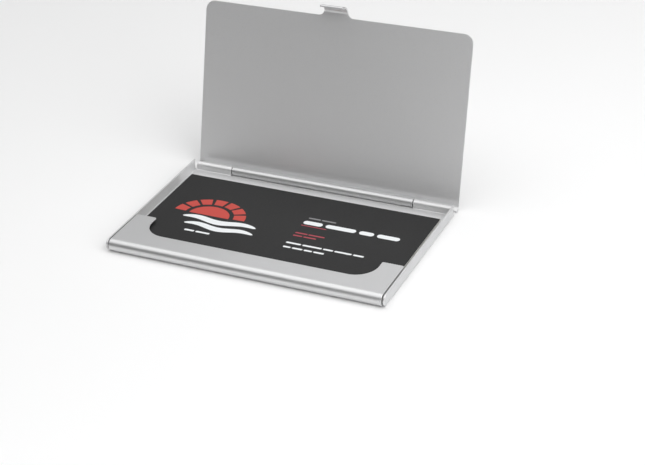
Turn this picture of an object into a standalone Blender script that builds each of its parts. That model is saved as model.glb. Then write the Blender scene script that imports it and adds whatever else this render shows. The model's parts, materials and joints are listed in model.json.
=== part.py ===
"""Business card case in sheet aluminium: a shallow tray, a hinged lid with a clip, and the cards inside.

Frame: +X to the right, +Y to the hinge, +Z up. The origin is on the underside of the tray, at the
middle of its footprint. The lid stands open, which is its rest position; closing it is a positive
turn about +X. Lengths below are in millimetres and MM turns them into metres.

Both shells are one piece of sheet each. Each is drawn flat, as x across and s along the bending
path, and then bent: s equals y on the part of the sheet that stays flat.
"""

from math import acos, asin, ceil, cos, degrees, pi, radians, sin

import bmesh
import bpy
from mathutils import Vector

MM = 0.001

# Driving dimensions
WIDTH = 95.0  # over the side walls
DEPTH = 61.0  # closed, from the front roll to the hinge
HEIGHT = 4.8  # closed
SHEET = 0.5
TRAY_HEIGHT = 4.1
LID_OPENING = 105.0  # degrees from closed

# Tray
FRONT = -DEPTH / 2
REAR = DEPTH / 2
ROLL_RADIUS = TRAY_HEIGHT / 2
ROLL_Y = FRONT + ROLL_RADIUS
SIDE_BEND = 0.55  # middle of the sheet
SIDE_BEND_X = WIDTH / 2 - SHEET / 2 - SIDE_BEND
ROLL_HALF_WIDTH = SIDE_BEND_X - 0.15
PLATE_MIDDLE_Y = -22.0  # back edge of the front plate in the cut-out
PLATE_EAR_Y = -12.0  # back edge of its two ears
CUT_OUT_HALF_WIDTH = 39.4
CUT_OUT_RADIUS = 7.3
EAR_RADIUS = 0.5

# Hinge
AXIS_Y = REAR - 1.4
AXIS_Z = 1.6
NOTCH_CENTRE = (AXIS_Y + 1.3, AXIS_Z + 0.4)  # of the hollow in a side wall's back end
NOTCH_RADIUS = 3.0
ROD_RADIUS = 0.8
ROD_HALF_LENGTH = 46.2
BARREL = 1.15  # middle of the sheet in every knuckle
LID_BARREL_END = 33.0
TRAY_BARREL_START = 33.3
TRAY_BARREL_END = 46.4
TRAY_HOLLOW_BEND = 0.55

# Lid
LID_FRONT_Y = -27.4
LID_CORNER = 3.3
LID_REAR_BEND = 2.45
LID_LIP_ANGLE = 65.0  # how far the lid's ends curl down over the tray's knuckles
CLIP_HALF_WIDTH = 4.1
CLIP_ROOT_RADIUS = 2.0
CLIP_TIP_RADIUS = 0.5
CLIP_BEND = ROLL_RADIUS + 0.2 + SHEET / 2
CLIP_WRAP = 110.0
CLIP_FLARE_BEND = 0.6
CLIP_FLARE = 65.0
CLIP_TIP_LENGTH = 0.45

# Cards
CARD_SIZE = (90.0, 50.0, 0.25)
CARD_PITCH = 0.45
CARD_GAP = 0.25  # between the floor and the lowest card
CARD_MIDDLE = (0.75, -4.65)
CARD_SHIFTS = ((0.1, 0.6), (-0.25, 0.2), (0.15, 0.3), (-0.1, 0.1), (0.0, 0.0))  # a loose stack, lowest first

BEND_STEP = 10.0  # degrees of bend between two folds of the mesh
OUTLINE_STEP = 10.0  # degrees between two points of a rounded outline
TINY = 1e-4


def clear_scene():
    for obj in list(bpy.data.objects):
        bpy.data.objects.remove(obj, do_unlink=True)


def material(name, colour, roughness, metallic):
    made = bpy.data.materials.new(name)
    made.use_nodes = True
    shader = made.node_tree.nodes["Principled BSDF"]
    shader.inputs["Base Color"].default_value = (*colour, 1.0)
    shader.inputs["Roughness"].default_value = roughness
    shader.inputs["Metallic"].default_value = metallic
    return made


def add_object(name, bm, finish, origin=(0.0, 0.0, 0.0)):
    """An object made from bm, whose points are in millimetres, with its origin at origin."""
    bm.normal_update()
    bmesh.ops.recalc_face_normals(bm, faces=bm.faces)
    bmesh.ops.translate(bm, verts=bm.verts, vec=-Vector(origin))
    bmesh.ops.scale(bm, verts=bm.verts, vec=(MM, MM, MM))
    mesh = bpy.data.meshes.new(name)
    bm.to_mesh(mesh)
    bm.free()
    mesh.materials.append(finish)
    mesh.shade_smooth()
    mesh.set_sharp_from_angle(angle=radians(30))
    obj = bpy.data.objects.new(name, mesh)
    obj.location = Vector(origin) * MM
    bpy.context.scene.collection.objects.link(obj)
    return obj


def arc(centre, radius, start, end):
    """Points of an arc in the flat drawing, from one angle to the other in degrees, both ends included."""
    count = max(1, ceil(abs(end - start) / OUTLINE_STEP))
    angles = [radians(start + (end - start) * i / count) for i in range(count + 1)]
    return [(centre[0] + radius * cos(a), centre[1] + radius * sin(a)) for a in angles]


def length_of(bends):
    """Length along the middle of the sheet of a list of (radius, degrees). Radius 0 is a straight length."""
    return sum(radius * radians(abs(turn)) if radius else turn for radius, turn in bends)


def walk(start, heading, bends, distance):
    """Where a path of bends is after this distance: (y, z, heading). A positive turn is to the left."""
    y, z = start
    for radius, turn in bends:
        length = length_of([(radius, turn)])
        step = min(distance, length)
        if radius:
            side = 1 if turn > 0 else -1
            centre = (y - side * radius * sin(heading), z + side * radius * cos(heading))
            heading += side * step / radius
            y = centre[0] + side * radius * sin(heading)
            z = centre[1] - side * radius * cos(heading)
        else:
            y += step * cos(heading)
            z += step * sin(heading)
        distance -= step
        if distance <= 0:
            break
    return y, z, heading


def folds(start, bends, direction):
    """Values of s where the mesh needs a fold so that the bends come out round."""
    found, s = [start], start
    for radius, turn in bends:
        length = length_of([(radius, turn)])
        count = ceil(abs(turn) / BEND_STEP) if radius else 1
        found += [s + direction * length * (i + 1) / count for i in range(count)]
        s += direction * length
    return found[:-1]


class Sheet:
    """Flat from front to back at height z, with a list of bends beyond each end."""

    def __init__(self, z, front, front_bends, back, back_bends):
        self.z, self.front, self.back = z, front, back
        self.front_bends, self.back_bends = front_bends, back_bends

    def fold_lines(self):
        return folds(self.front, self.front_bends, -1) + folds(self.back, self.back_bends, 1)

    def point(self, x, s, lift):
        """The bent place of flat point (x, s), lift above the middle of the sheet."""
        if s < self.front:
            y, z, heading = walk((self.front, self.z), pi, self.front_bends, self.front - s)
            heading -= pi
        elif s > self.back:
            y, z, heading = walk((self.back, self.z), 0.0, self.back_bends, s - self.back)
        else:
            y, z, heading = s, self.z, 0.0
        return Vector((x, y - lift * sin(heading), z + lift * cos(heading)))


def tray_point(sheet, x, s, lift):
    """As Sheet.point, with the side walls beyond SIDE_BEND_X folded up."""
    side, beyond = (1 if x > 0 else -1), abs(x) - SIDE_BEND_X
    if beyond < -TINY:
        return sheet.point(x, s, lift)
    turn = min(max(beyond, 0.0) / SIDE_BEND, pi / 2)
    rise = max(0.0, beyond - SIDE_BEND * pi / 2)
    reach = SIDE_BEND_X + (SIDE_BEND - lift) * sin(turn)
    height = sheet.z + SIDE_BEND - (SIDE_BEND - lift) * cos(turn) + rise
    return Vector((side * reach, s, height))


def wall_x(z):
    """The flat x of a side wall's point at height z, measured at the middle of the sheet."""
    bend_top = SHEET / 2 + SIDE_BEND
    if z >= bend_top:
        return SIDE_BEND_X + SIDE_BEND * pi / 2 + z - bend_top
    return SIDE_BEND_X + SIDE_BEND * acos(min(1.0, (bend_top - z) / SIDE_BEND))


def bent_solid(half_outline, lines_s, lines_x, place):
    """A closed solid from half a flat outline (x, s), mirrored in x, then folded on the lines and bent."""
    outline = half_outline + [(-x, s) for x, s in reversed(half_outline) if x > 0]
    bm = bmesh.new()
    bm.faces.new([bm.verts.new((x, s, 0.0)) for x, s in outline])
    cuts = [((0, s, 0), (0, 1, 0)) for s in lines_s] + [((x, 0, 0), (1, 0, 0)) for x in lines_x]
    for point, normal in cuts:
        geometry = bm.verts[:] + bm.edges[:] + bm.faces[:]
        bmesh.ops.bisect_plane(bm, geom=geometry, dist=1e-5, plane_co=point, plane_no=normal)
    rim = [edge for edge in bm.edges if edge.is_boundary]
    upper = {v: v for v in bm.verts}
    lower = {v: bm.verts.new(v.co) for v in list(bm.verts)}
    for face in list(bm.faces):
        bm.faces.new([lower[v] for v in reversed(face.verts)])
    for edge in rim:
        a, b = edge.verts
        bm.faces.new([a, b, lower[b], lower[a]])
    for v in upper:
        x, s = v.co.x, v.co.y
        v.co = place(x, s, SHEET / 2)
        lower[v].co = place(x, s, -SHEET / 2)
    return bm


def plate_s(y, roll_length):
    """The flat s of a point of the front plate, which lies above the tray's floor, at this y."""
    return ROLL_Y - roll_length - (y - ROLL_Y)


def cut_out_outline(roll_length):
    """Right half of the front plate's back edge: the wide cut-out, then the ear beside it."""
    def flat(points):
        return [(x, plate_s(y, roll_length)) for x, y in points]

    corner = (CUT_OUT_HALF_WIDTH - CUT_OUT_RADIUS, PLATE_MIDDLE_Y + CUT_OUT_RADIUS)
    inner = (CUT_OUT_HALF_WIDTH + EAR_RADIUS, PLATE_EAR_Y - EAR_RADIUS)
    outer = (ROLL_HALF_WIDTH - EAR_RADIUS, PLATE_EAR_Y - EAR_RADIUS)
    return flat(
        [(0.0, PLATE_MIDDLE_Y)]
        + arc(corner, CUT_OUT_RADIUS, -90, 0)
        + arc(inner, EAR_RADIUS, 180, 90)
        + arc(outer, EAR_RADIUS, 90, 0)
    )


def wall_outline():
    """Right side wall, from the front: round front end, straight top, pointed and hollow back end."""
    middle = (SHEET / 2 + TRAY_HEIGHT) / 2
    round_end = arc((ROLL_Y, middle), middle - SHEET / 2, 270, 90)
    top = 180 - degrees(asin((TRAY_HEIGHT - NOTCH_CENTRE[1]) / NOTCH_RADIUS))
    bottom = 180 + degrees(asin((NOTCH_CENTRE[1] - SHEET / 2) / NOTCH_RADIUS))
    hollow = arc(NOTCH_CENTRE, NOTCH_RADIUS, top, bottom)
    return [(wall_x(z), y) for y, z in round_end + hollow]


def make_tray(finish):
    """Floor, side walls, front roll with its plate, and the two outer hinge knuckles."""
    roll = [(ROLL_RADIUS - SHEET / 2, -180.0), (0, PLATE_EAR_Y - ROLL_Y)]
    rise = AXIS_Z - SHEET / 2 - TRAY_HOLLOW_BEND
    floor_back = AXIS_Y - BARREL - TRAY_HOLLOW_BEND
    knuckle = [(TRAY_HOLLOW_BEND, 90.0), (0, rise), (BARREL, -290.0)]
    sheet = Sheet(SHEET / 2, ROLL_Y, roll, floor_back, knuckle)
    tongue_end = floor_back + length_of(knuckle)
    outline = (
        cut_out_outline(length_of(roll[:1]))
        + [(ROLL_HALF_WIDTH, ROLL_Y)]
        + wall_outline()
        + [(SIDE_BEND_X, floor_back), (TRAY_BARREL_END, floor_back), (TRAY_BARREL_END, tongue_end)]
        + [(TRAY_BARREL_START, tongue_end), (TRAY_BARREL_START, floor_back), (0.0, floor_back)]
    )
    bend = [SIDE_BEND_X + SIDE_BEND * pi / 2 * i / 5 for i in range(6)]
    lines_x = bend + [-x for x in bend]
    bm = bent_solid(outline, sheet.fold_lines(), lines_x, lambda x, s, h: tray_point(sheet, x, s, h))
    return add_object("tray", bm, finish)


def make_lid(finish):
    """Panel, front clip and the long middle knuckle, drawn closed and then turned open."""
    clip = [(CLIP_BEND, CLIP_WRAP), (CLIP_FLARE_BEND, -CLIP_FLARE), (0, CLIP_TIP_LENGTH)]
    middle = HEIGHT - SHEET / 2
    rear_flat = REAR - SHEET / 2 - LID_REAR_BEND
    drop = middle - LID_REAR_BEND - AXIS_Z
    curl = [(LID_REAR_BEND, -90.0), (0, drop), (BARREL, -250.0)]
    sheet = Sheet(middle, ROLL_Y, clip, rear_flat, curl)
    clip_end = ROLL_Y - length_of(clip)
    lip_end = rear_flat + LID_REAR_BEND * radians(LID_LIP_ANGLE)
    curl_end = rear_flat + length_of(curl)
    tip = (CLIP_HALF_WIDTH - CLIP_TIP_RADIUS, clip_end + CLIP_TIP_RADIUS)
    root = (CLIP_HALF_WIDTH + CLIP_ROOT_RADIUS, LID_FRONT_Y - CLIP_ROOT_RADIUS)
    corner = (WIDTH / 2 - LID_CORNER, LID_FRONT_Y + LID_CORNER)
    outline = (
        [(0.0, clip_end)]
        + arc(tip, CLIP_TIP_RADIUS, -90, 0)
        + arc(root, CLIP_ROOT_RADIUS, 180, 90)
        + arc(corner, LID_CORNER, -90, 0)
        + [(WIDTH / 2, lip_end), (LID_BARREL_END, lip_end), (LID_BARREL_END, curl_end), (0.0, curl_end)]
    )
    bm = bent_solid(outline, sheet.fold_lines(), [], sheet.point)
    lid = add_object("lid", bm, finish, origin=(0.0, AXIS_Y, AXIS_Z))
    lid.rotation_euler.x = -radians(LID_OPENING)
    return lid


def make_rod(finish):
    bm = bmesh.new()
    bmesh.ops.create_cone(
        bm,
        cap_ends=True,
        segments=32,
        radius1=ROD_RADIUS,
        radius2=ROD_RADIUS,
        depth=2 * ROD_HALF_LENGTH,
    )
    caps = [face for face in bm.faces if len(face.verts) > 4]
    rims = [edge for face in caps for edge in face.edges]
    bmesh.ops.bevel(bm, geom=rims, offset=0.15, segments=1, affect="EDGES")
    for v in bm.verts:
        v.co = Vector((v.co.z, AXIS_Y + v.co.x, AXIS_Z - v.co.y))
    return add_object("hinge_rod", bm, finish, origin=(0.0, AXIS_Y, AXIS_Z))


def make_cards(finish, top_finish):
    """A loose stack of cards on the floor of the tray."""
    lowest_z = SHEET + CARD_GAP + CARD_SIZE[2] / 2
    for i, (shift_x, shift_y) in enumerate(CARD_SHIFTS):
        place = (CARD_MIDDLE[0] + shift_x, CARD_MIDDLE[1] + shift_y, lowest_z + CARD_PITCH * i)
        bm = bmesh.new()
        bmesh.ops.create_cube(bm, size=1.0)
        bmesh.ops.scale(bm, verts=bm.verts, vec=CARD_SIZE)
        bmesh.ops.translate(bm, verts=bm.verts, vec=place)
        on_top = i == len(CARD_SHIFTS) - 1
        add_object(f"card_{i + 1}", bm, top_finish if on_top else finish, origin=place)


def main():
    clear_scene()
    aluminium = material("satin_aluminium", (0.66, 0.66, 0.67), 0.34, 1.0)
    steel = material("rod_steel", (0.55, 0.55, 0.56), 0.28, 1.0)
    white_card = material("white_card", (0.82, 0.81, 0.78), 0.7, 0.0)
    black_card = material("black_card", (0.035, 0.035, 0.036), 0.55, 0.0)
    make_tray(aluminium)
    make_lid(aluminium)
    make_rod(steel)
    make_cards(white_card, black_card)


main()
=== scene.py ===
"""Looks of a satin aluminium business card case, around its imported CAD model.

The case rests open with its cards in the tray. Lengths are in millimetres and MM turns them into metres.
Both shells are one piece of sheet: each is drawn flat, as x across and s along the bending path, gets
rounded edges, and is then bent. Where the sheet stays flat, s equals y.
"""

import json
from math import acos, asin, ceil, cos, degrees, pi, radians, sin

import bmesh
import bpy
from mathutils import Matrix, Vector


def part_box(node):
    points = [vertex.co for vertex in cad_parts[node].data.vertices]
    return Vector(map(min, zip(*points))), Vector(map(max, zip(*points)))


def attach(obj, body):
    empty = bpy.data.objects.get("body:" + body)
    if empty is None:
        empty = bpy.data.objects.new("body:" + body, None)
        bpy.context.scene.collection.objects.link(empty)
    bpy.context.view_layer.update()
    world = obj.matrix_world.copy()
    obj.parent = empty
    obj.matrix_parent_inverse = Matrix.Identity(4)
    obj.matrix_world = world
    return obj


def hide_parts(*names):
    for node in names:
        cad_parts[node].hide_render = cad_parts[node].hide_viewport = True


MM = 0.001

# Camera
CAMERA_TARGET = (19.35, -11.33, 10.0)
CAMERA_DISTANCE = 488.81
CAMERA_AZIMUTH = 26.15
CAMERA_ELEVATION = 30.24
CAMERA_ROLL = -3.09
CAMERA_LENS = 89.13
SENSOR_WIDTH = 36.0

# Fineness of the visible sheet
BEND_STEP = 5.0  # degrees of bend between two folds
OUTLINE_STEP = 6.0  # degrees between two points of a rounded outline
EDGE_RADIUS = 0.09
EDGE_SEGMENTS = 2
TINY = 1e-4


# ---------------------------------------------------------------- frame

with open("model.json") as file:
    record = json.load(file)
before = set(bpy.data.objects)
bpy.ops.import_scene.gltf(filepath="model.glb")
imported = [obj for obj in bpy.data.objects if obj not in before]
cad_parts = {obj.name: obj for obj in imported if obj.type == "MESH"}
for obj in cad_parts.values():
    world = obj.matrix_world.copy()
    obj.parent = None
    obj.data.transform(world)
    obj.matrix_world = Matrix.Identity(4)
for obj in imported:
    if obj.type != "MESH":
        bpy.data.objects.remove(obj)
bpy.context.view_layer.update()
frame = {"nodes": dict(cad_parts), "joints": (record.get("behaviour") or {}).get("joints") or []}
joints = {joint["name"]: joint for joint in frame["joints"]}


def box_mm(node):
    low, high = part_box(node)
    return low / MM, high / MM


# ---------------------------------------------------------------- dimensions

tray_low, tray_high = box_mm("tray")

SHEET = 0.5
LID_GAP = 0.2  # between the lid and the tray when closed
WIDTH = tray_high.x - tray_low.x
FRONT = tray_low.y
REAR = tray_high.y
TRAY_HEIGHT = tray_high.z
HEIGHT = TRAY_HEIGHT + LID_GAP + SHEET
LID_OPENING = joints["lid_hinge"]["range_deg"][1]
AXIS_Y = joints["lid_hinge"]["pos_m"][1] / MM
AXIS_Z = joints["lid_hinge"]["pos_m"][2] / MM

ROLL_RADIUS = TRAY_HEIGHT / 2
ROLL_Y = FRONT + ROLL_RADIUS
SIDE_BEND = 0.55  # middle of the sheet
SIDE_FOLDS = 8
SIDE_BEND_X = WIDTH / 2 - SHEET / 2 - SIDE_BEND
ROLL_END_GAP = 0.15
ROLL_HALF_WIDTH = SIDE_BEND_X - ROLL_END_GAP
PLATE_MIDDLE_Y = -22.0
PLATE_EAR_Y = -12.0
CUT_OUT_HALF_WIDTH = 39.4
CUT_OUT_RADIUS = 7.3
EAR_RADIUS = 0.5
NOTCH_CENTRE = (AXIS_Y + 1.3, AXIS_Z + 0.4)
NOTCH_RADIUS = 3.0

BARREL = 1.15  # middle of the sheet in every knuckle
LID_BARREL_END = 33.0
TRAY_BARREL_START = 33.3
TRAY_BARREL_END = 46.4
TRAY_HOLLOW_BEND = 0.55

LID_FRONT_Y = -27.4
LID_CORNER = 3.3
LID_REAR_BEND = 2.45
LID_LIP_ANGLE = 65.0
CLIP_HALF_WIDTH = 4.1
CLIP_ROOT_RADIUS = 2.0
CLIP_TIP_RADIUS = 0.5
CLIP_BEND = ROLL_RADIUS + LID_GAP + SHEET / 2
CLIP_WRAP = 110.0
CLIP_FLARE_BEND = 0.6
CLIP_FLARE = 65.0
CLIP_TIP_LENGTH = 0.45


# ---------------------------------------------------------------- node material helpers


class Nodes:
    """A material's node tree, with short calls to add and join nodes."""

    def __init__(self, name):
        self.material = bpy.data.materials.new(name)
        self.material.use_nodes = True
        self.tree = self.material.node_tree
        self.shader = self.tree.nodes["Principled BSDF"]

    def add(self, kind, **values):
        node = self.tree.nodes.new(kind)
        for key, value in values.items():
            if key in node.inputs:
                node.inputs[key].default_value = value
            else:
                setattr(node, key, value)
        return node

    def join(self, source, output, target, socket):
        self.tree.links.new(source.outputs[output], target.inputs[socket])

    def set(self, **values):
        for key, value in values.items():
            self.shader.inputs[key.replace("_", " ")].default_value = value

    def stretched(self, scale):
        """Object coordinates, with a scale for each axis."""
        place = self.add("ShaderNodeTexCoord")
        mapping = self.add("ShaderNodeMapping")
        mapping.inputs["Scale"].default_value = scale
        self.join(place, "Object", mapping, "Vector")
        return mapping

    def noise(self, scale, detail=2.0, stretch=(1, 1, 1), roughness=0.5):
        made = self.add("ShaderNodeTexNoise", Scale=scale, Detail=detail, Roughness=roughness)
        self.join(self.stretched(stretch), "Vector", made, "Vector")
        return made

    def ramp(self, source, output, low, high):
        """A number between low and high that follows another node's output."""
        made = self.add("ShaderNodeMapRange")
        made.inputs["From Min"].default_value = 0.3
        made.inputs["From Max"].default_value = 0.7
        made.inputs["To Min"].default_value = low
        made.inputs["To Max"].default_value = high
        self.join(source, output, made, "Value")
        return made

    def blend(self, factor, output, low, high):
        made = self.add("ShaderNodeMix", data_type="RGBA")
        made.inputs[6].default_value = (*low, 1.0)
        made.inputs[7].default_value = (*high, 1.0)
        self.join(factor, output, made, "Factor")
        return made

    def bump(self, height, output, strength, distance, below=None):
        made = self.add("ShaderNodeBump", Strength=strength, Distance=distance)
        self.join(height, output, made, "Height")
        if below:
            self.join(below, "Normal", made, "Normal")
        return made


def blasted_aluminium():
    """Outside of the sheet, bead-blasted and anodised: a fine even grain that spreads its reflections."""
    m = Nodes("blasted_aluminium")
    m.set(Metallic=0.9)
    cloud = m.noise(38.0, detail=3.0)
    grain = m.noise(6000.0, detail=2.0, roughness=0.7)
    tone = m.blend(cloud, "Fac", (0.66, 0.663, 0.668), (0.70, 0.703, 0.708))
    m.tree.links.new(tone.outputs[2], m.shader.inputs["Base Color"])
    m.join(m.ramp(grain, "Fac", 0.36, 0.46), "Result", m.shader, "Roughness")
    m.join(m.bump(grain, "Fac", 0.12, 0.00002), "Normal", m.shader, "Normal")
    return m.material


def rolled_aluminium():
    """Inside of the sheet, smoother under a milky anodised layer: faint rolling lines and a finer grain."""
    m = Nodes("rolled_aluminium")
    m.set(Metallic=0.5)
    cloud = m.noise(30.0, detail=3.0)
    lines = m.noise(90.0, detail=4.0, stretch=(1.0, 50.0, 50.0))
    grain = m.noise(8000.0, detail=2.0, roughness=0.7)
    tone = m.blend(cloud, "Fac", (0.695, 0.696, 0.70), (0.725, 0.726, 0.73))
    m.tree.links.new(tone.outputs[2], m.shader.inputs["Base Color"])
    m.join(m.ramp(grain, "Fac", 0.27, 0.34), "Result", m.shader, "Roughness")
    rolled = m.bump(lines, "Fac", 0.03, 0.00002)
    m.join(m.bump(grain, "Fac", 0.06, 0.00002, below=rolled), "Normal", m.shader, "Normal")
    return m.material


def rod_steel():
    """Drawn wire: fine scratches along its length."""
    m = Nodes("rod_steel")
    m.set(Metallic=1.0)
    drawn = m.noise(60.0, detail=4.0, stretch=(1.0, 120.0, 120.0))
    tone = m.blend(drawn, "Fac", (0.5, 0.5, 0.51), (0.62, 0.62, 0.63))
    m.tree.links.new(tone.outputs[2], m.shader.inputs["Base Color"])
    m.join(m.ramp(drawn, "Fac", 0.22, 0.36), "Result", m.shader, "Roughness")
    m.join(m.bump(drawn, "Fac", 0.1, 0.00002), "Normal", m.shader, "Normal")
    return m.material


def card_board(name, dark, light, roughness, fibre):
    """Card stock, with fibres that show faintly in colour and relief."""
    m = Nodes(name)
    m.set(Roughness=roughness)
    fibres = m.noise(1400.0, detail=4.0, stretch=(1.0, 2.2, 1.0), roughness=0.65)
    tone = m.blend(fibres, "Fac", dark, light)
    m.tree.links.new(tone.outputs[2], m.shader.inputs["Base Color"])
    m.join(m.ramp(fibres, "Fac", roughness - 0.05, roughness + 0.05), "Result", m.shader, "Roughness")
    m.join(m.bump(fibres, "Fac", fibre, 0.00003), "Normal", m.shader, "Normal")
    return m.material


# ---------------------------------------------------------------- bent sheet


def arc(centre, radius, start, end):
    """Points of an arc in the flat drawing, from one angle to the other in degrees, both ends included."""
    count = max(1, ceil(abs(end - start) / OUTLINE_STEP))
    angles = [radians(start + (end - start) * i / count) for i in range(count + 1)]
    return [(centre[0] + radius * cos(a), centre[1] + radius * sin(a)) for a in angles]


def length_of(bends):
    """Length of a list of (radius, degrees) at the middle of the sheet. Radius 0 means a straight length."""
    return sum(radius * radians(abs(turn)) if radius else turn for radius, turn in bends)


def walk(start, heading, bends, distance):
    """Where a path of bends is after this distance, as (y, z, heading in radians). Positive turns go left."""
    y, z = start
    for radius, turn in bends:
        step = min(distance, length_of([(radius, turn)]))
        if radius:
            side = 1 if turn > 0 else -1
            centre = (y - side * radius * sin(heading), z + side * radius * cos(heading))
            heading += side * step / radius
            y = centre[0] + side * radius * sin(heading)
            z = centre[1] - side * radius * cos(heading)
        else:
            y += step * cos(heading)
            z += step * sin(heading)
        distance -= step
        if distance <= 0:
            break
    return y, z, heading


def folds(start, bends, direction):
    """Values of s where the mesh needs a fold so that the bends come out round."""
    found, s = [start], start
    for radius, turn in bends:
        length = length_of([(radius, turn)])
        count = ceil(abs(turn) / BEND_STEP) if radius else 1
        found += [s + direction * length * (i + 1) / count for i in range(count)]
        s += direction * length
    return found[:-1]


class Sheet:
    """Flat from front to back at height z, with a list of bends beyond each end."""

    def __init__(self, z, front, front_bends, back, back_bends):
        self.z, self.front, self.back = z, front, back
        self.front_bends, self.back_bends = front_bends, back_bends

    def fold_lines(self):
        return folds(self.front, self.front_bends, -1) + folds(self.back, self.back_bends, 1)

    def point(self, x, s, lift):
        """The bent place of flat point (x, s), lift above the middle of the sheet."""
        if s < self.front:
            y, z, heading = walk((self.front, self.z), pi, self.front_bends, self.front - s)
            heading -= pi
        elif s > self.back:
            y, z, heading = walk((self.back, self.z), 0.0, self.back_bends, s - self.back)
        else:
            y, z, heading = s, self.z, 0.0
        return Vector((x, y - lift * sin(heading), z + lift * cos(heading)))


def tray_point(sheet, x, s, lift):
    """As Sheet.point, with the side walls beyond SIDE_BEND_X folded up."""
    side, beyond = (1 if x > 0 else -1), abs(x) - SIDE_BEND_X
    if beyond < -TINY:
        return sheet.point(x, s, lift)
    turn = min(max(beyond, 0.0) / SIDE_BEND, pi / 2)
    rise = max(0.0, beyond - SIDE_BEND * pi / 2)
    reach = SIDE_BEND_X + (SIDE_BEND - lift) * sin(turn)
    height = sheet.z + SIDE_BEND - (SIDE_BEND - lift) * cos(turn) + rise
    return Vector((side * reach, s, height))


def wall_x(z):
    """The flat x of a side wall's point at height z, measured at the middle of the sheet."""
    bend_top = SHEET / 2 + SIDE_BEND
    if z >= bend_top:
        return SIDE_BEND_X + SIDE_BEND * pi / 2 + z - bend_top
    return SIDE_BEND_X + SIDE_BEND * acos(min(1.0, (bend_top - z) / SIDE_BEND))


def flat_blank(half_outline, lines_s, lines_x):
    """A flat mesh of the outline (x, s), mirrored in x and cut along the fold lines, and its boundary in
    order.
    """
    outline = half_outline + [(-x, s) for x, s in reversed(half_outline) if x > 0]
    bm = bmesh.new()
    bm.faces.new([bm.verts.new((x, s, 0.0)) for x, s in outline])
    cuts = [((0, s, 0), (0, 1, 0)) for s in lines_s] + [((x, 0, 0), (1, 0, 0)) for x in lines_x]
    for point, normal in cuts:
        geometry = bm.verts[:] + bm.edges[:] + bm.faces[:]
        bmesh.ops.bisect_plane(bm, geom=geometry, dist=1e-5, plane_co=point, plane_no=normal)
    bm.normal_update()
    if sum(face.normal.z for face in bm.faces) < 0:
        bmesh.ops.reverse_faces(bm, faces=bm.faces)
    following = {}
    for edge in bm.edges:
        if edge.is_boundary:
            loop = edge.link_loops[0]
            following[loop.vert] = loop.link_loop_next.vert
    boundary = [next(iter(following))]
    while following[boundary[-1]] is not boundary[0]:
        boundary.append(following[boundary[-1]])
    return bm, boundary


def inward(boundary):
    """For each boundary vertex, the flat vector that moves both edges beside it inwards by one."""
    found = []
    for i, vert in enumerate(boundary):
        before = (vert.co - boundary[i - 1].co).to_2d().normalized()
        after = (boundary[(i + 1) % len(boundary)].co - vert.co).to_2d().normalized()
        normals = [Vector((-d.y, d.x)) for d in (before, after)]
        found.append((normals[0] + normals[1]) / (1 + normals[0].dot(normals[1])))
    return found


def bent_sheet(name, half_outline, lines_s, lines_x, place, upper_finish, lower_finish):
    """A closed sheet with rounded edges, bent by place(x, s, lift). The edges share the upper finish."""
    bm, boundary = flat_blank(half_outline, lines_s, lines_x)
    steps = [pi / 2 * k / EDGE_SEGMENTS for k in range(EDGE_SEGMENTS + 1)]
    profile = [(EDGE_RADIUS * (1 - cos(a)), SHEET / 2 - EDGE_RADIUS * (1 - sin(a))) for a in steps]
    rim = [(inset, -lift) for inset, lift in reversed(profile)] + profile
    vectors, corners = inward(boundary), [v.co.to_2d() for v in boundary]
    upper, top_faces = list(bm.verts), list(bm.faces)
    lower = {v: bm.verts.new(v.co) for v in upper}
    for face in top_faces:
        bm.faces.new([lower[v] for v in reversed(face.verts)]).material_index = 1
    rings = [[lower[v] for v in boundary]]
    rings += [[bm.verts.new() for _ in boundary] for _ in rim[1:-1]]
    rings.append(boundary)
    for ring, (inset, lift) in zip(rings, rim):
        for vert, corner, vector in zip(ring, corners, vectors):
            moved = corner + vector * inset
            vert.co = (moved.x, moved.y, lift)
    on_rim = set(boundary)
    for vert in upper:
        if vert not in on_rim:
            vert.co.z = SHEET / 2
            lower[vert].co.z = -SHEET / 2
    for below, above in zip(rings, rings[1:]):
        for i in range(len(boundary)):
            j = (i + 1) % len(boundary)
            bm.faces.new([below[i], below[j], above[j], above[i]])
    for vert in bm.verts:
        vert.co = place(*vert.co) * MM
    return finished(name, bm, upper_finish, lower_finish)


def finished(name, bm, *finishes, sharp=50.0):
    """An object from bm, in metres, smooth but for its sharp edges, and shaded as its large faces lie."""
    bm.normal_update()
    bmesh.ops.recalc_face_normals(bm, faces=bm.faces)
    mesh = bpy.data.meshes.new(name)
    bm.to_mesh(mesh)
    bm.free()
    for finish in finishes:
        mesh.materials.append(finish)
    mesh.shade_smooth()
    mesh.set_sharp_from_angle(angle=radians(sharp))
    obj = bpy.data.objects.new(name, mesh)
    bpy.context.scene.collection.objects.link(obj)
    weighted = obj.modifiers.new("weighted_normals", "WEIGHTED_NORMAL")
    weighted.keep_sharp = True
    return obj


# ---------------------------------------------------------------- tray


def cut_out_outline(roll_length):
    """Right half of the front plate's back edge: the wide cut-out, then the ear beside it."""
    corner = (CUT_OUT_HALF_WIDTH - CUT_OUT_RADIUS, PLATE_MIDDLE_Y + CUT_OUT_RADIUS)
    inner = (CUT_OUT_HALF_WIDTH + EAR_RADIUS, PLATE_EAR_Y - EAR_RADIUS)
    outer = (ROLL_HALF_WIDTH - EAR_RADIUS, PLATE_EAR_Y - EAR_RADIUS)
    outline = [(0.0, PLATE_MIDDLE_Y)] + arc(corner, CUT_OUT_RADIUS, -90, 0)
    outline += arc(inner, EAR_RADIUS, 180, 90) + arc(outer, EAR_RADIUS, 90, 0)
    return [(x, ROLL_Y - roll_length - (y - ROLL_Y)) for x, y in outline]


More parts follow.
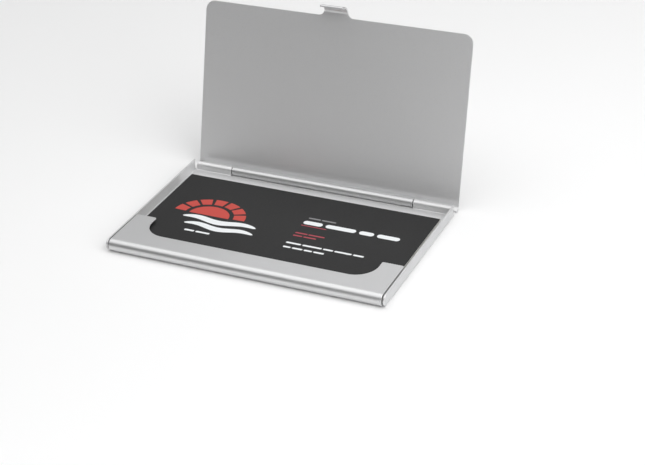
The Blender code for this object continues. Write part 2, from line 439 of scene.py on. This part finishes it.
def wall_outline():
    """Right side wall, from the front: round front end, straight top, pointed and hollow back end."""
    middle = (SHEET / 2 + TRAY_HEIGHT) / 2
    round_end = arc((ROLL_Y, middle), middle - SHEET / 2, 270, 90)
    top = 180 - degrees(asin((TRAY_HEIGHT - NOTCH_CENTRE[1]) / NOTCH_RADIUS))
    bottom = 180 + degrees(asin((NOTCH_CENTRE[1] - SHEET / 2) / NOTCH_RADIUS))
    hollow = arc(NOTCH_CENTRE, NOTCH_RADIUS, top, bottom)
    return [(wall_x(z), y) for y, z in round_end + hollow]


def make_tray(outside, inside):
    roll = [(ROLL_RADIUS - SHEET / 2, -180.0), (0, PLATE_EAR_Y - ROLL_Y)]
    rise = AXIS_Z - SHEET / 2 - TRAY_HOLLOW_BEND
    floor_back = AXIS_Y - BARREL - TRAY_HOLLOW_BEND
    knuckle = [(TRAY_HOLLOW_BEND, 90.0), (0, rise), (BARREL, -290.0)]
    sheet = Sheet(SHEET / 2, ROLL_Y, roll, floor_back, knuckle)
    tongue_end = floor_back + length_of(knuckle)
    outline = (
        cut_out_outline(length_of(roll[:1]))
        + [(ROLL_HALF_WIDTH, ROLL_Y)]
        + wall_outline()
        + [(SIDE_BEND_X, floor_back), (TRAY_BARREL_END, floor_back), (TRAY_BARREL_END, tongue_end)]
        + [(TRAY_BARREL_START, tongue_end), (TRAY_BARREL_START, floor_back), (0.0, floor_back)]
    )
    bend = [SIDE_BEND_X + SIDE_BEND * pi / 2 * i / SIDE_FOLDS for i in range(SIDE_FOLDS + 1)]
    lines_x = bend + [-x for x in bend]

    def place(x, s, lift):
        return tray_point(sheet, x, s, lift)

    return bent_sheet("tray_shell", outline, sheet.fold_lines(), lines_x, place, inside, outside)


# ---------------------------------------------------------------- lid


def make_lid(outside, inside):
    """Drawn closed, then turned open about the hinge's axis."""
    clip = [(CLIP_BEND, CLIP_WRAP), (CLIP_FLARE_BEND, -CLIP_FLARE), (0, CLIP_TIP_LENGTH)]
    middle = HEIGHT - SHEET / 2
    rear_flat = REAR - SHEET / 2 - LID_REAR_BEND
    curl = [(LID_REAR_BEND, -90.0), (0, middle - LID_REAR_BEND - AXIS_Z), (BARREL, -250.0)]
    sheet = Sheet(middle, ROLL_Y, clip, rear_flat, curl)
    clip_end = ROLL_Y - length_of(clip)
    lip_end = rear_flat + LID_REAR_BEND * radians(LID_LIP_ANGLE)
    curl_end = rear_flat + length_of(curl)
    tip = (CLIP_HALF_WIDTH - CLIP_TIP_RADIUS, clip_end + CLIP_TIP_RADIUS)
    root = (CLIP_HALF_WIDTH + CLIP_ROOT_RADIUS, LID_FRONT_Y - CLIP_ROOT_RADIUS)
    corner = (WIDTH / 2 - LID_CORNER, LID_FRONT_Y + LID_CORNER)
    outline = (
        [(0.0, clip_end)]
        + arc(tip, CLIP_TIP_RADIUS, -90, 0)
        + arc(root, CLIP_ROOT_RADIUS, 180, 90)
        + arc(corner, LID_CORNER, -90, 0)
        + [(WIDTH / 2, lip_end), (LID_BARREL_END, lip_end), (LID_BARREL_END, curl_end), (0.0, curl_end)]
    )
    axis = Vector((0.0, AXIS_Y, AXIS_Z))
    opened = Matrix.Rotation(-radians(LID_OPENING), 3, "X")

    def place(x, s, lift):
        return axis + opened @ (sheet.point(x, s, lift) - axis)

    return bent_sheet("lid_shell", outline, sheet.fold_lines(), [], place, outside, inside)


# ---------------------------------------------------------------- cards

INK_DEPTH = 0.015
INK_SUNK = 0.06  # how far the ink shapes reach into the card
WORD_GAP = 0.55  # gap between two bars, as a share of their height
SUN_DISC = 0.56  # shares of the sun's radius
SUN_RAYS_FROM = 0.68
RAY_MARGIN = 0.11  # free at each side of a ray, as a share of its step
WAVE_STEPS = 48
CARD_EDGE = 0.03
CARD_COLUMNS = 30
CARD_ROWS = 16
CARD_WAVES = {  # height and phase
    "card_1": (0.05, 0.4),
    "card_2": (0.04, 2.1),
    "card_3": (0.05, 3.5),
    "card_4": (0.03, 5.0),
    "card_5": (0.02, 1.2),
}
WAVE_TURNS = (3.0, 2.0)  # radians of the wave across and along a card


def make_card(node, board, face):
    """A card with its printed upper face, a paper-white edge all round, and a faint wave in it."""
    low, high = box_mm(node)
    wave, phase = CARD_WAVES[node]
    bm = bmesh.new()
    bmesh.ops.create_grid(bm, x_segments=CARD_COLUMNS, y_segments=CARD_ROWS, size=0.5)
    middle, size = (low + high) / 2, high - low
    inner = size.to_2d() - Vector((2 * CARD_EDGE, 2 * CARD_EDGE))
    rim = [e for e in bm.edges if e.is_boundary]
    boundary = {v for e in rim for v in e.verts}
    for v in bm.verts:
        v.co = (v.co.x * inner.x, v.co.y * inner.y, size.z / 2)
    upper = list(bm.verts)
    top_faces = list(bm.faces)
    lower = {v: bm.verts.new((v.co.x, v.co.y, -size.z / 2)) for v in upper}
    for f in top_faces:
        bm.faces.new([lower[v] for v in reversed(f.verts)]).material_index = 0
        f.material_index = 1
    grow = Vector((size.x / inner.x, size.y / inner.y))
    outer = {}
    for v in boundary:
        x, y = v.co.x * grow.x, v.co.y * grow.y
        outer[v] = [bm.verts.new((x, y, h)) for h in (-size.z / 2 + CARD_EDGE, size.z / 2 - CARD_EDGE)]
    for e in rim:
        a, b = e.verts
        rows = [(lower[a], lower[b]), (outer[a][0], outer[b][0]), (outer[a][1], outer[b][1]), (a, b)]
        for (p, q), (r, s) in zip(rows, rows[1:]):
            bm.faces.new([p, q, s, r]).material_index = 0
    for v in bm.verts:
        across, along = v.co.x / size.x * WAVE_TURNS[0], v.co.y / size.y * WAVE_TURNS[1]
        bow = wave * sin(across + phase) * cos(along + phase)
        v.co = (v.co + middle + Vector((0, 0, bow))) * MM
    return finished(f"{node}_board", bm, board, face, sharp=80.0)


def rounded_bar(x0, x1, y, height):
    """Outline of a bar with round ends, from x0 to x1."""
    r = height / 2
    return arc((x1 - r, y), r, -90, 90) + arc((x0 + r, y), r, 90, 270)


def word_row(x, y, height, widths):
    """A row of plain bars, as wide as words, with a gap of about half their height between two."""
    row = []
    for width in widths:
        row.append(rounded_bar(x, x + width, y, height))
        x += width + WORD_GAP * height
    return row


def widened(outline, centre, factor):
    """The outline stretched sideways about its centre."""
    return [(centre[0] + (x - centre[0]) * factor, y) for x, y in outline]


def sun_outlines(centre, radius, widening, rays):
    """A rising half-sun: a half-disc with short wedges round it, a little wider than it is round."""
    shapes = [arc(centre, radius * SUN_DISC, 0, 180)]
    step = 180.0 / rays
    for i in range(rays):
        start, end = (i + RAY_MARGIN) * step, (i + 1 - RAY_MARGIN) * step
        outer, inner = arc(centre, radius, start, end), arc(centre, radius * SUN_RAYS_FROM, end, start)
        shapes.append(outer + inner)
    return [widened(shape, centre, widening) for shape in shapes]


def wave_outline(x0, x1, y, amplitude, thickness, waves):
    """A band that undulates from x0 to x1 and tapers to its ends."""
    rows = []
    for i in range(WAVE_STEPS + 1):
        t = i / WAVE_STEPS
        half = thickness / 2 * (sin(pi * t) ** 0.4 if 0 < t < 1 else 0.0)
        rows.append((x0 + (x1 - x0) * t, y + amplitude * sin(2 * pi * waves * t), half))
    lower = [(x, mid - half) for x, mid, half in rows]
    return lower + [(x, mid + half) for x, mid, half in reversed(rows[1:-1])]


def make_print(name, outlines, surface_z, finish):
    """Thin ink shapes on the top card."""
    bm = bmesh.new()
    for outline in outlines:
        top = [bm.verts.new((x, y, surface_z + INK_DEPTH)) for x, y in outline]
        bottom = [bm.verts.new((x, y, surface_z - INK_SUNK)) for x, y in outline]
        bm.faces.new(top)
        bm.faces.new(list(reversed(bottom)))
        for i in range(len(outline)):
            j = (i + 1) % len(outline)
            bm.faces.new([top[i], bottom[i], bottom[j], top[j]])
    for v in bm.verts:
        v.co = v.co * MM
    return finished(name, bm, finish)


# ---------------------------------------------------------------- studio


FLOOR_HALF_SIZE = 6.0
AMBIENT = 0.06
GLOWS = (  # azimuth counted from the front, elevation, tightness, level
    (-90, 40, 12, 0.8),
    (205, 40, 12, 0.55),
)
SOFTBOXES = (  # name, place, size and power
    ("top", (0.05, 0.0, 0.8), 1.4, 7.6),
    ("right", (0.6, -0.18, 0.42), 0.7, 3.4),
    ("front", (0.06, -0.36, 0.04), 0.14, 0.11),
)


def direction(azimuth, elevation):
    """A unit vector; azimuth 0 is the front and grows towards the right."""
    a, e = radians(azimuth), radians(elevation)
    return Vector((sin(a) * cos(e), -cos(a) * cos(e), sin(e)))


def make_floor():
    m = Nodes("studio_floor")
    m.set(Base_Color=(0.93, 0.93, 0.93, 1.0), Roughness=0.8)
    bm = bmesh.new()
    bmesh.ops.create_grid(bm, x_segments=2, y_segments=2, size=FLOOR_HALF_SIZE)
    mesh = bpy.data.meshes.new("studio_floor")
    bm.to_mesh(mesh)
    bm.free()
    mesh.materials.append(m.material)
    floor = bpy.data.objects.new("studio_floor", mesh)
    bpy.context.scene.collection.objects.link(floor)


def make_light(name, location, size, power):
    """A square softbox that points at the case."""
    data = bpy.data.lights.new(name, "AREA")
    data.shape = "SQUARE"
    data.size = size
    data.energy = power
    light = bpy.data.objects.new(name, data)
    light.location = location
    light.visible_camera = False
    light.rotation_euler = (-Vector(location)).to_track_quat("-Z", "Y").to_euler()
    bpy.context.scene.collection.objects.link(light)


def make_world():
    """A dim room with soft glows on the left and behind."""
    world = bpy.data.worlds.new("studio")
    world.use_nodes = True
    tree = world.node_tree
    place = tree.nodes.new("ShaderNodeTexCoord")

    def maths(operation, first, second):
        node = tree.nodes.new("ShaderNodeMath")
        node.operation = operation
        tree.links.new(first, node.inputs[0])
        if isinstance(second, (int, float)):
            node.inputs[1].default_value = second
        else:
            tree.links.new(second, node.inputs[1])
        return node.outputs[0]

    total = None
    for azimuth, elevation, tightness, level in GLOWS:
        nearness = tree.nodes.new("ShaderNodeVectorMath")
        nearness.operation = "DOT_PRODUCT"
        nearness.inputs[1].default_value = direction(azimuth, elevation)
        tree.links.new(place.outputs["Generated"], nearness.inputs[0])
        facing = maths("MAXIMUM", nearness.outputs["Value"], 0.0)
        glow = maths("MULTIPLY", maths("POWER", facing, tightness), level)
        total = maths("ADD", glow, AMBIENT if total is None else total)
    tree.links.new(total, tree.nodes["Background"].inputs["Color"])
    bpy.context.scene.world = world


def make_camera():
    roll = radians(CAMERA_ROLL)
    back = direction(CAMERA_AZIMUTH, CAMERA_ELEVATION)
    right = Vector((0, 0, 1)).cross(back).normalized()
    up = back.cross(right)
    turned_right = right * cos(roll) + up * sin(roll)
    turned_up = up * cos(roll) - right * sin(roll)
    data = bpy.data.cameras.new("camera")
    data.lens = CAMERA_LENS
    data.sensor_width = SENSOR_WIDTH
    data.sensor_fit = "HORIZONTAL"
    data.clip_start = 0.01
    camera = bpy.data.objects.new("camera", data)
    rotation = Matrix((turned_right, turned_up, back)).transposed().to_4x4()
    place = (Vector(CAMERA_TARGET) + back * CAMERA_DISTANCE) * MM
    camera.matrix_world = Matrix.Translation(place) @ rotation
    bpy.context.scene.collection.objects.link(camera)
    bpy.context.scene.camera = camera


# ---------------------------------------------------------------- assembly


def place_shells():
    outside, inside = blasted_aluminium(), rolled_aluminium()
    for made, node in ((make_tray(outside, inside), "tray"), (make_lid(outside, inside), "lid")):
        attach(made, node)
        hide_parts(node)
    frame["nodes"]["hinge_rod"].data.materials.clear()
    frame["nodes"]["hinge_rod"].data.materials.append(rod_steel())


def place_cards():
    board = card_board("white_board", (0.72, 0.71, 0.68), (0.8, 0.79, 0.76), 0.75, 0.25)
    black = card_board("black_ink", (0.015, 0.015, 0.0152), (0.019, 0.019, 0.0192), 0.55, 0.12)
    black.node_tree.nodes["Principled BSDF"].inputs["Specular IOR Level"].default_value = 0.3
    for i in range(1, 6):
        node = f"card_{i}"
        on_top = i == 5
        card = make_card(node, board, black if on_top else board)
        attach(card, "cards")
        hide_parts(node)


def place_print():
    """A half-sun over waves on the left, and rows of word-sized bars on the right."""
    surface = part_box("card_5")[1].z / MM
    white = card_board("white_ink", (0.8, 0.83, 0.84), (0.86, 0.88, 0.89), 0.6, 0.1)
    red = card_board("red_ink", (0.5, 0.055, 0.04), (0.56, 0.065, 0.05), 0.6, 0.1)
    faded_red = card_board("faded_red_ink", (0.36, 0.05, 0.07), (0.42, 0.06, 0.08), 0.6, 0.1)
    grey = card_board("grey_ink", (0.2, 0.2, 0.205), (0.26, 0.26, 0.265), 0.6, 0.1)
    reds = sun_outlines((-25.4, -3.0), 10.2, 1.24, 7)
    faded_reds = word_row(5.8, -3.1, 0.65, (4.2, 5.6)) + word_row(5.8, -4.8, 0.65, (3.2, 4.4))
    faded_reds += word_row(5.5, 1.75, 0.4, (8.8,))
    whites = [wave_outline(-33.5, -7.0, -5.5, 0.7, 2.7, 1.5)]
    whites += [wave_outline(-31.0, -6.2, -9.4, 0.7, 2.5, 1.5)]
    whites += word_row(-28.6, -13.4, 0.9, (3.6, 5.0))
    whites += word_row(5.5, 3.75, 2.1, (6.6, 10.4, 5.0, 7.6))
    whites += word_row(5.6, -9.5, 0.85, (5.2, 6.6, 3.4, 5.8, 3.6))
    whites += word_row(5.8, -12.1, 0.85, (2.6, 3.6, 2.8, 3.6))
    greys = word_row(6.0, 6.6, 0.7, (4.2, 5.0))
    for name, outlines, ink in (
        ("print_red", reds, red),
        ("print_faded_red", faded_reds, faded_red),
        ("print_white", whites, white),
        ("print_grey", greys, grey),
    ):
        made = make_print(name, outlines, surface, ink)
        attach(made, "cards")


make_camera()
place_shells()
place_cards()
place_print()
make_floor()
make_world()
for softbox in SOFTBOXES:
    make_light(*softbox)
bpy.context.scene.view_settings.view_transform = "Standard"
